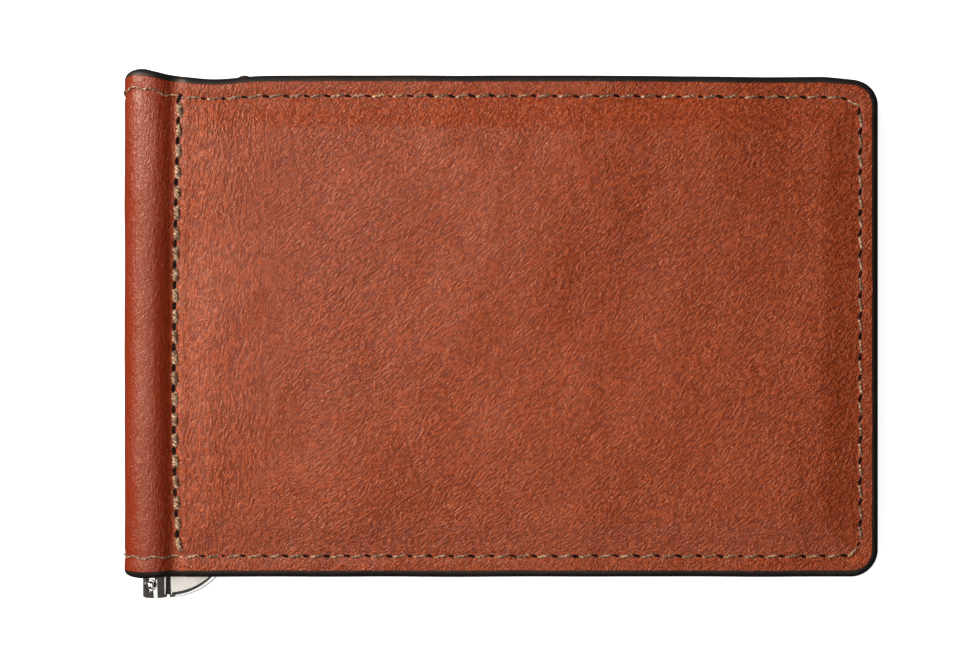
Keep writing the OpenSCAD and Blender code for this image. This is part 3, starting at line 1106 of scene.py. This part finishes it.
def stitch_tree(material: Material) -> Tree:
    """Tree that lays a twisted two-ply stitch on each point."""
    sizes = ("Length", "Ply Radius", "Twist Radius", "Dip")
    tree = Tree("stitch", {**{key: "NodeSocketFloat" for key in sizes}, "Seed": "NodeSocketInt"})
    inputs = tree.start.outputs
    plies = tree.add("GeometryNodeJoinGeometry")
    for turn in (math.pi, 0.0):
        ply = tree.add(
            "GeometryNodeCurveSpiral", Resolution=7, Rotations=1.6, Start_Radius=inputs["Twist Radius"],
            End_Radius=inputs["Twist Radius"], Height=inputs["Length"],
        )
        spun = tree.add("GeometryNodeTransform", Geometry=ply.outputs[0], Rotation=(0, 0, turn))
        laid = tree.add("GeometryNodeTransform", Geometry=spun.outputs[0], Rotation=(0, math.pi / 2, 0))
        tree.tree.links.new(laid.outputs[0], plies.inputs[0])
    half = tree.times(inputs["Length"], 0.5)
    place = tree.add("GeometryNodeInputPosition").outputs[0]
    x = tree.add("ShaderNodeSeparateXYZ", Vector=place).outputs[0]
    share = tree.math("DIVIDE", tree.math("SUBTRACT", x, half), half)
    dip = tree.times(tree.math("POWER", tree.math("ABSOLUTE", share), 4.0), inputs["Dip"])
    shift = tree.add(
        "ShaderNodeCombineXYZ", X=tree.times(half, -1.0), Z=tree.times(dip, -1.0)
    )
    bowed = tree.add("GeometryNodeSetPosition", Geometry=plies.outputs[0], Offset=shift.outputs[0])
    ring = tree.add("GeometryNodeCurvePrimitiveCircle", Resolution=5, Radius=inputs["Ply Radius"])
    solid = tree.add(
        "GeometryNodeCurveToMesh", Curve=bowed.outputs[0], Profile_Curve=ring.outputs[0], Fill_Caps=True
    )
    tree.on_points(solid.outputs[0], material)
    return tree


def hole_shade_tree(material: Material) -> Tree:
    """Tree that sets a flat near-black disc on each point, as painted shade of an awl hole."""
    tree = Tree("awl_hole_shade", {"Size": "NodeSocketVector", "Seed": "NodeSocketInt"})
    ball = tree.add("GeometryNodeMeshUVSphere", Segments=10, Rings=6, Radius=1.0)
    flat = tree.add("GeometryNodeTransform", Geometry=ball.outputs[0], Scale=tree.start.outputs["Size"])
    tree.on_points(flat.outputs[0], material)
    return tree


@dataclass
class StitchRow:
    """A row of stitches and painted shade at its awl holes along a path on a cover."""

    name: str
    path: list[tuple[float, float]]
    kind: Stitching
    pitch: float
    face: Callable[[float, float], tuple[Vector, Vector]]
    put: Callable[[Vector], Vector]
    shape: CoverShape
    palette: Palette
    thread_slant: float = 11.0
    hole_slant: float = -20.0
    seed: int = 4

    def spaced(self, offset: float) -> list[tuple[float, float, float, float]]:
        """Places at the pitch along the path, as (p, y, dp, dy) with its direction.

        Args:
            offset: Share of the pitch at which the first place stands.

        Returns:
            The places in order.
        """
        lengths = [math.dist(a, b) for a, b in zip(self.path, self.path[1:])]
        total = sum(lengths)
        count = round(total / self.pitch)
        step = total / count
        made = []
        for k in range(count):
            at = (k + offset) * step
            for (a, b), length in zip(zip(self.path, self.path[1:]), lengths):
                if at <= length:
                    share = at / length if length else 0.0
                    dp, dy = (b[0] - a[0]) / max(length, 1e-9), (b[1] - a[1]) / max(length, 1e-9)
                    made.append((a[0] + (b[0] - a[0]) * share, a[1] + (b[1] - a[1]) * share, dp, dy))
                    break
                at -= length
        return made

    def points(self, offset: float, slant: float, lift: float, p_from: float) -> Object:
        """Makes the points that carry the stitches or the holes.

        Args:
            offset: Share of the pitch at which the first one stands.
            slant: Degrees that each one is turned from the path.
            lift: Height above the face in mm.
            p_from: No point stands before this p.

        Returns:
            An object of loose points with the attributes "along" and "up".
        """
        places, alongs, ups = [], [], []
        put, face = self.put, self.face
        origin = put(Vector((0, 0, 0)))
        for p, y, dp, dy in self.spaced(offset):
            if p <= p_from:
                continue
            a = math.radians(slant if p > self.shape.roll_r else slant * 0.35)
            dp, dy = dp * math.cos(a) - dy * math.sin(a), dp * math.sin(a) + dy * math.cos(a)
            here, way = face(p, y)
            ahead, _ = face(p + dp * 0.4, y + dy * 0.4)
            behind, _ = face(p - dp * 0.4, y - dy * 0.4)
            places.append(put(here + way * lift) * MM)
            alongs.append((put(ahead) - put(behind)).normalized())
            ups.append((put(way) - origin).normalized())
        mesh = bpy.data.meshes.new(self.name)
        mesh.from_pydata(places, [], [])
        for key, vectors in (("along", alongs), ("up", ups)):
            layer = mesh.attributes.new(key, "FLOAT_VECTOR", "POINT")
            layer.data.foreach_set("vector", [c for v in vectors for c in v])
        return linked(self.name, mesh)

    def grown(self, points: Object, tree: Tree, values: dict[str, Any], name: str) -> Object:
        """Runs a tree on the points and keeps the result as a plain mesh."""
        modifier = points.modifiers.new(name, "NODES")
        modifier.node_group = tree.tree
        for key, value in values.items():
            modifier[tree.sockets[key]] = value
        result = points.evaluated_get(bpy.context.evaluated_depsgraph_get())
        mesh = bpy.data.meshes.new_from_object(result)
        points.modifiers.clear()
        bpy.data.objects.remove(points)
        mesh.name = name
        mesh.polygons.foreach_set("use_smooth", [True] * len(mesh.polygons))
        return linked(name, mesh)

    def build(self) -> list[Object]:
        """Builds the row's thread and the flat discs of painted shade at its holes."""
        ply, twist, length, hole_l, hole_w = self.kind.value
        lift = 0.14 if self.kind is Stitching.SEAM else 0.07
        points = self.points(0.5, self.thread_slant, lift, -math.inf)
        sizes = {
            "Length": length * MM, "Ply Radius": ply * MM, "Twist Radius": twist * MM,
            "Dip": 0.3 * MM, "Seed": self.seed,
        }
        thread = self.grown(points, stitch_tree(self.palette.thread), sizes, self.name)
        points = self.points(0.0, self.hole_slant, -0.01, self.shape.roll_r - 1.2)
        size = (hole_l / 2 * MM, hole_w / 2 * MM, 0.06 * MM)
        values = {"Size": size, "Seed": self.seed}
        hole_shades = self.grown(points, hole_shade_tree(self.palette.hole_shade), values, f"{self.name}_holes")
        return [thread, hole_shades]


@dataclass
class ClipHinge:
    """The sprung clip and its hinge: sizes in mm."""

    palette: Palette
    x: float = -51.4
    z: float = 5.8
    barrel_r: float = 1.8
    barrel_y0: float = -40.35
    barrel_y1: float = -33.6
    fin_r: float = 10.1
    bar_w: float = 3.2
    tip_reach: float = 13.3
    tip_y: float = 37.15
    arm_t: float = 1.2
    bevel_w: float = 0.78
    fin_gap: float = 0.35
    fin_u: float = 1.9
    crook_u: float = 3.75
    crook_rise: float = 1.2
    crook_r: float = 5.0
    narrow: float = 0.3
    narrowest: float = 0.25
    pin_up: float = 1.95
    pin_turn: float = -17.0
    sleeve_r: float = 2.15
    sleeve_bore: float = 1.65
    sleeve_y0: float = -33.1
    sleeve_y1: float = 35.3
    lining_x: float = -53.6

    def along_y(self, y: float) -> Matrix:
        """Matrix that lays a turned solid along +Y on the hinge's axis, from y."""
        return Matrix.Translation((self.x, y, self.z)) @ Matrix.Rotation(-math.pi / 2, 4, "X")

    def outline(self) -> list[tuple[float, float, float]]:
        """The flat arm's outline, as (x, y, width of its bevel)."""
        left = self.x + self.barrel_r + self.fin_gap
        cx, cy = self.x + self.fin_u, self.barrel_y0 + self.fin_r
        made = [(left, cy - math.sqrt(self.fin_r**2 - (left - cx) ** 2), self.narrow)]
        start = math.degrees(math.asin((left - cx) / self.fin_r)) - 90
        for k in range(1, 29):
            a = math.radians(start + (0 - start) * k / 28)
            width = self.bevel_w - (self.bevel_w - self.narrow) * smooth((k - 14) / 14)
            made.append((cx + self.fin_r * math.cos(a), cy + self.fin_r * math.sin(a), width))
        r = self.bar_w / 2
        tip_x, tip_y = self.x + self.tip_reach, self.tip_y - r
        for k in range(13):
            a = math.pi * k / 12
            made.append((tip_x + r * math.cos(a), tip_y + r * math.sin(a), self.narrow))
        x, y, r = self.x + self.crook_u, cy + self.crook_rise, self.crook_r
        for k in range(13):
            a = -math.pi / 2 * k / 12
            made.append((x + r * math.cos(a), y + r * math.sin(a), self.narrowest))
        made.append((left, y - r, self.narrowest))
        return made

    def build_arm(self) -> Object:
        """Builds the barrel, the tongue that joins it to the fin, and the bevelled arm; the tongue is near-black
        steel as painted shade of the slot between barrel and fin.
        """
        points: list[Vector] = []
        faces: Faces = []
        bright: list[int] = []
        length = self.barrel_y1 - self.barrel_y0
        r = self.barrel_r
        profile = [
            (0, 0.12), (0.9, 0.12), (1.0, 0.03), (r - 0.22, 0.0), (r - 0.06, 0.06), (r, 0.22),
            (r, length - 0.2), (r - 0.05, length - 0.06), (r - 0.2, length), (0, length),
        ]
        solid, skin = lathe(profile, 64, self.along_y(self.barrel_y0))
        points += solid
        faces += skin
        bright += range(len(faces))
        self.bevelled_plate(self.outline(), points, faces, bright)
        # The tongue fills the slot between barrel and fin; its near-black steel is painted shade of that slot.
        tongue = [
            Vector((self.x + 1.2 + dx, y, self.z + dz))
            for dx in (0, 1.2) for y in (self.barrel_y0 + 0.4, self.barrel_y1 - 0.4) for dz in (-0.1, 0.1)
        ]
        base = len(points)
        points += tongue
        box = ((0, 1, 3, 2), (4, 6, 7, 5), (0, 4, 5, 1), (2, 3, 7, 6), (0, 2, 6, 4), (1, 5, 7, 3))
        first = len(faces)
        faces += [tuple(base + k for k in f) for f in box]
        black = range(first, len(faces))
        made = object_from("clip_arm_polished", points, faces, self.palette.satin, 28.0)
        made.data.materials.append(self.palette.bright)
        made.data.materials.append(self.palette.slot_shade)
        for k in bright:
            made.data.polygons[k].material_index = 1
        for k in black:
            made.data.polygons[k].material_index = 2
        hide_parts("clip_arm")
        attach(made, "clip")
        return made

    def bevelled_plate(
        self, outline: list[tuple[float, float, float]], points: list[Vector], faces: Faces,
        bright: list[int],
    ) -> None:
        """Adds the arm's plate with its polished bevels.

        Args:
            outline: Its outline with the bevel's width at each point.
            points: Points so far, added to.
            faces: Faces so far, added to.
            bright: Numbers of the polished faces, added to.
        """
        count = len(outline)
        half = self.arm_t / 2
        normals = []
        for k, (x, y, _) in enumerate(outline):
            before, after = outline[k - 1], outline[(k + 1) % count]
            e1 = Vector((x - before[0], y - before[1])).normalized()
            e2 = Vector((after[0] - x, after[1] - y)).normalized()
            n = Vector((-(e1.y + e2.y), e1.x + e2.x))
            n.normalize()
            n /= max(0.45, n.dot(Vector((-e2.y, e2.x))))
            normals.append((n.x, n.y))
        base = len(points)
        step = 0.1
        rows = [(0.0, 0.16), (step, 0.34), (1 - step, half - 0.09), (1.0, half)]
        rows = [(share, -z) for share, z in reversed(rows)] + rows
        for share, z in rows:
            for (x, y, width), (nx, ny) in zip(outline, normals):
                near = min(step, width / 3)
                inset = {step: near, 1 - step: width - near}.get(share, share * width)
                points.append(Vector((x + nx * inset, y + ny * inset, self.z + z)))
        wall = ring_faces(base, count, len(rows))
        bright += range(len(faces), len(faces) + len(wall))
        faces += wall
        last = base + (len(rows) - 1) * count
        faces.append(tuple(base + k for k in reversed(range(count))))
        faces.append(tuple(last + k for k in range(count)))

    def build_pin(self) -> Object:
        """Builds the cross pin with a domed head at each end, in a bright seat whose groove is painted near-black as
        painted shade.
        """
        r = self.barrel_r
        turn = Matrix.Rotation(math.radians(self.pin_turn), 4, "Y")
        place = Matrix.Translation((self.x, self.barrel_y0 + self.pin_up, self.z)) @ turn
        dome = [(0.62 * math.sin(a), 0.30 * math.cos(a)) for a in [math.pi / 2 * k / 8 for k in range(9)]]
        head = [(radius, r + 0.06 + height) for radius, height in dome]
        seat = [(0.62, r - 0.08), (0.76, r - 0.08), (0.8, r + 0.06), (0.86, r + 0.1)]
        seat += [(0.93, r + 0.05), (0.95, r - 0.25)]
        half = head + seat + [(0.45, r - 0.3), (0.45, 0.0)]
        profile = half + [(a, -b) for a, b in reversed(half[:-1])]
        points, faces = lathe(profile, 32, place)
        made = object_from("cross_pin_domed", points, faces, self.palette.bright, 35.0)
        made.data.materials.append(self.palette.hole_shade)
        # The groove round each dome takes the near-black hole material as painted shade.
        for polygon in made.data.polygons:
            centre = place.inverted() @ (polygon.center / MM)
            out = math.hypot(centre.x, centre.y)
            if 0.63 < out < 0.79 and abs(centre.z) < r + 0.02:
                polygon.material_index = 1
        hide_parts("cross_pin")
        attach(made, "clip")
        return made

    def build_sleeve(self) -> Object:
        """Builds the leather sleeve, pinched where it is sewn to the spine."""
        segments = 56
        count = 70
        inner_r = self.sleeve_bore

        def outer(a: float, y: float) -> Vector:
            r = self.sleeve_r + 0.05 * noise.noise(Vector((2 * math.cos(a), 2 * math.sin(a), y / 5)))
            end = min(y - self.sleeve_y0, self.sleeve_y1 - y)
            r -= 0.14 * (1 - smooth(end / 0.35))
            x, z = r * math.cos(a), r * math.sin(a)
            toward = -math.cos(a)
            if toward > 0:
                x = max(x - 0.9 * smooth((toward - 0.55) / 0.4), self.lining_x - self.x)
            return Vector((self.x + x, y, self.z + z))

        points: list[Vector] = []
        ys = edge_steps((0.0, 0.08, 0.2, 0.35), self.sleeve_y0, self.sleeve_y1, 68.4 / count, True)
        angles = [2 * math.pi * k / segments for k in range(segments)]
        for y in ys:
            points += [outer(a, y) for a in angles]
        for y in ys:
            points += [Vector((self.x + inner_r * math.cos(a), y, self.z + inner_r * math.sin(a))) for a in angles]
        below = len(ys) * segments
        last = below - segments
        faces = ring_faces(0, segments, len(ys)) + ring_faces(below, segments, len(ys))
        for k in range(segments):
            n = (k + 1) % segments
            faces.append((k, below + k, below + n, n))
            faces.append((last + k, last + n, below + last + n, below + last + k))
        made = object_from("clip_sleeve_leather", points, faces, self.palette.pocket, 45.0)
        set_rim(made, [min(y - self.sleeve_y0, self.sleeve_y1 - y) + 0.2 for y in ys for _ in angles] * 2)
        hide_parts("clip_sleeve")
        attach(made, "spine")
        return made

    def build(self) -> list[Object]:
        """Builds the arm, its pin and the sleeve."""
        return [self.build_arm(), self.build_pin(), self.build_sleeve()]


@dataclass(frozen=True)
class SoftLight:
    """A square light that faces the wallet: place and size in metres, power in watts."""

    name: str
    place: tuple[float, float, float]
    size: float
    power: float
    colour: tuple[float, float, float]


LIGHTS = (
    SoftLight("key", (-0.38, 0.20, 0.27), 0.26, 3.2, (1, 0.98, 0.95)),
    SoftLight("side", (-0.36, -0.04, 0.46), 0.36, 0.8, (1, 0.98, 0.96)),
    SoftLight("sheen", (-0.085, 0.09, 0.50), 0.20, 0.42, (1, 0.98, 0.97)),
    SoftLight("fill", (-0.10, -0.155, 0.50), 0.13, 0.08, (1, 0.98, 0.96)),
    SoftLight("edge", (0.06, -0.31, 0.50), 0.34, 0.42, (1, 1, 1)),
)


@dataclass
class Studio:
    """Floor, lights and camera."""

    camera_x: float = -2.42
    camera_y: float = 0.37
    face_z: float = 11.0
    distance: float = 400.0
    field_w: float = 142.2
    sensor: float = 36.0
    dim: float = 0.07
    floor_half: float = 4.0
    floor_z: float = -0.12

    def build_floor(self) -> None:
        """Lays a plain pale floor."""
        s = Shader("floor_paper")
        seen = s.add("ShaderNodeLightPath").outputs["Is Camera Ray"]
        material = s.finish(
            Base_Color=s.mix(seen, (0.08, 0.06, 0.05, 1), (0.94, 0.94, 0.94, 1)), Roughness=0.9,
            Specular_IOR_Level=0.1, Emission_Color=(1, 1, 1, 1), Emission_Strength=s.times(seen, 0.8),
        )
        mesh = bpy.data.meshes.new("floor")
        h, z = self.floor_half, self.floor_z * MM
        mesh.from_pydata([(-h, -h, z), (h, -h, z), (h, h, z), (-h, h, z)], [], [(0, 1, 2, 3)])
        mesh.materials.append(material)
        floor = linked("floor", mesh)

    def build_lights(self) -> None:
        """Hangs square soft lights that face the wallet."""
        for light in LIGHTS:
            lamp = bpy.data.lights.new(light.name, "AREA")
            lamp.shape = "SQUARE"
            lamp.size = light.size
            lamp.energy = light.power
            lamp.color = light.colour
            made = linked(light.name, lamp)
            made.location = light.place
            made.rotation_euler = (-Vector(light.place)).to_track_quat("-Z", "Y").to_euler()

    def build_world(self) -> None:
        """Shows a white backdrop and surrounds the scene with dim light."""
        world = bpy.data.worlds.new("studio")
        world.use_nodes = True
        tree = world.node_tree
        dim = tree.nodes["Background"]
        dim.inputs[0].default_value = (1, 0.97, 0.94, 1)
        dim.inputs[1].default_value = self.dim
        backdrop = tree.nodes.new("ShaderNodeBackground")
        backdrop.inputs[0].default_value = (1, 1, 1, 1)
        path = tree.nodes.new("ShaderNodeLightPath")
        mixed = tree.nodes.new("ShaderNodeMixShader")
        tree.links.new(path.outputs["Is Camera Ray"], mixed.inputs[0])
        tree.links.new(dim.outputs[0], mixed.inputs[1])
        tree.links.new(backdrop.outputs[0], mixed.inputs[2])
        tree.links.new(mixed.outputs[0], tree.nodes["World Output"].inputs[0])
        bpy.context.scene.world = world

    def build_camera(self) -> None:
        """Sets the camera straight above the wallet."""
        data = bpy.data.cameras.new("camera")
        data.sensor_width = self.sensor
        data.lens = self.sensor * self.distance / self.field_w
        data.clip_start = 0.01
        made = linked("camera", data)
        made.location = Vector((self.camera_x, self.camera_y, self.face_z + self.distance)) * MM
        bpy.context.scene.camera = made

    def build(self) -> None:
        """Builds the whole studio."""
        self.build_floor()
        self.build_world()
        self.build_camera()
        self.build_lights()
        bpy.context.scene.view_settings.view_transform = "Standard"


def dress_cad_nodes(palette: Palette) -> list[str]:
    """Gives every CAD node that is still shown the finish of its slot.

    Args:
        palette: The finishes.

    Returns:
        Names of the dressed nodes.
    """
    by_slot = palette.by_slot()
    slots = {s["node"]: s["material_slot"] for s in frame["record"]["subparts"]}
    dressed = []
    for name, node in frame["nodes"].items():
        if node.hide_render:
            continue
        node.data.materials.clear()
        node.data.materials.append(by_slot[slots[name]])
        dressed.append(name)
    return dressed


def main() -> None:
    """Builds every piece in order and reports it."""
    logging.basicConfig(level=logging.INFO, format="%(message)s")
    palette = Palette()
    shape = CoverShape()
    Studio().build()
    builders = (
        LeatherCover(Cover.FRONT, shape, palette, seed=1.7),
        LeatherCover(Cover.BACK, shape, palette, seed=31.3),
        ClipHinge(palette),
    )
    for builder in builders:
        for piece in builder.build():
            LOG.info("%s: %d faces", piece.name, len(piece.data.polygons))
    for name in dress_cad_nodes(palette):
        LOG.info("%s: dressed", name)


if __name__ == "__main__":
    main()
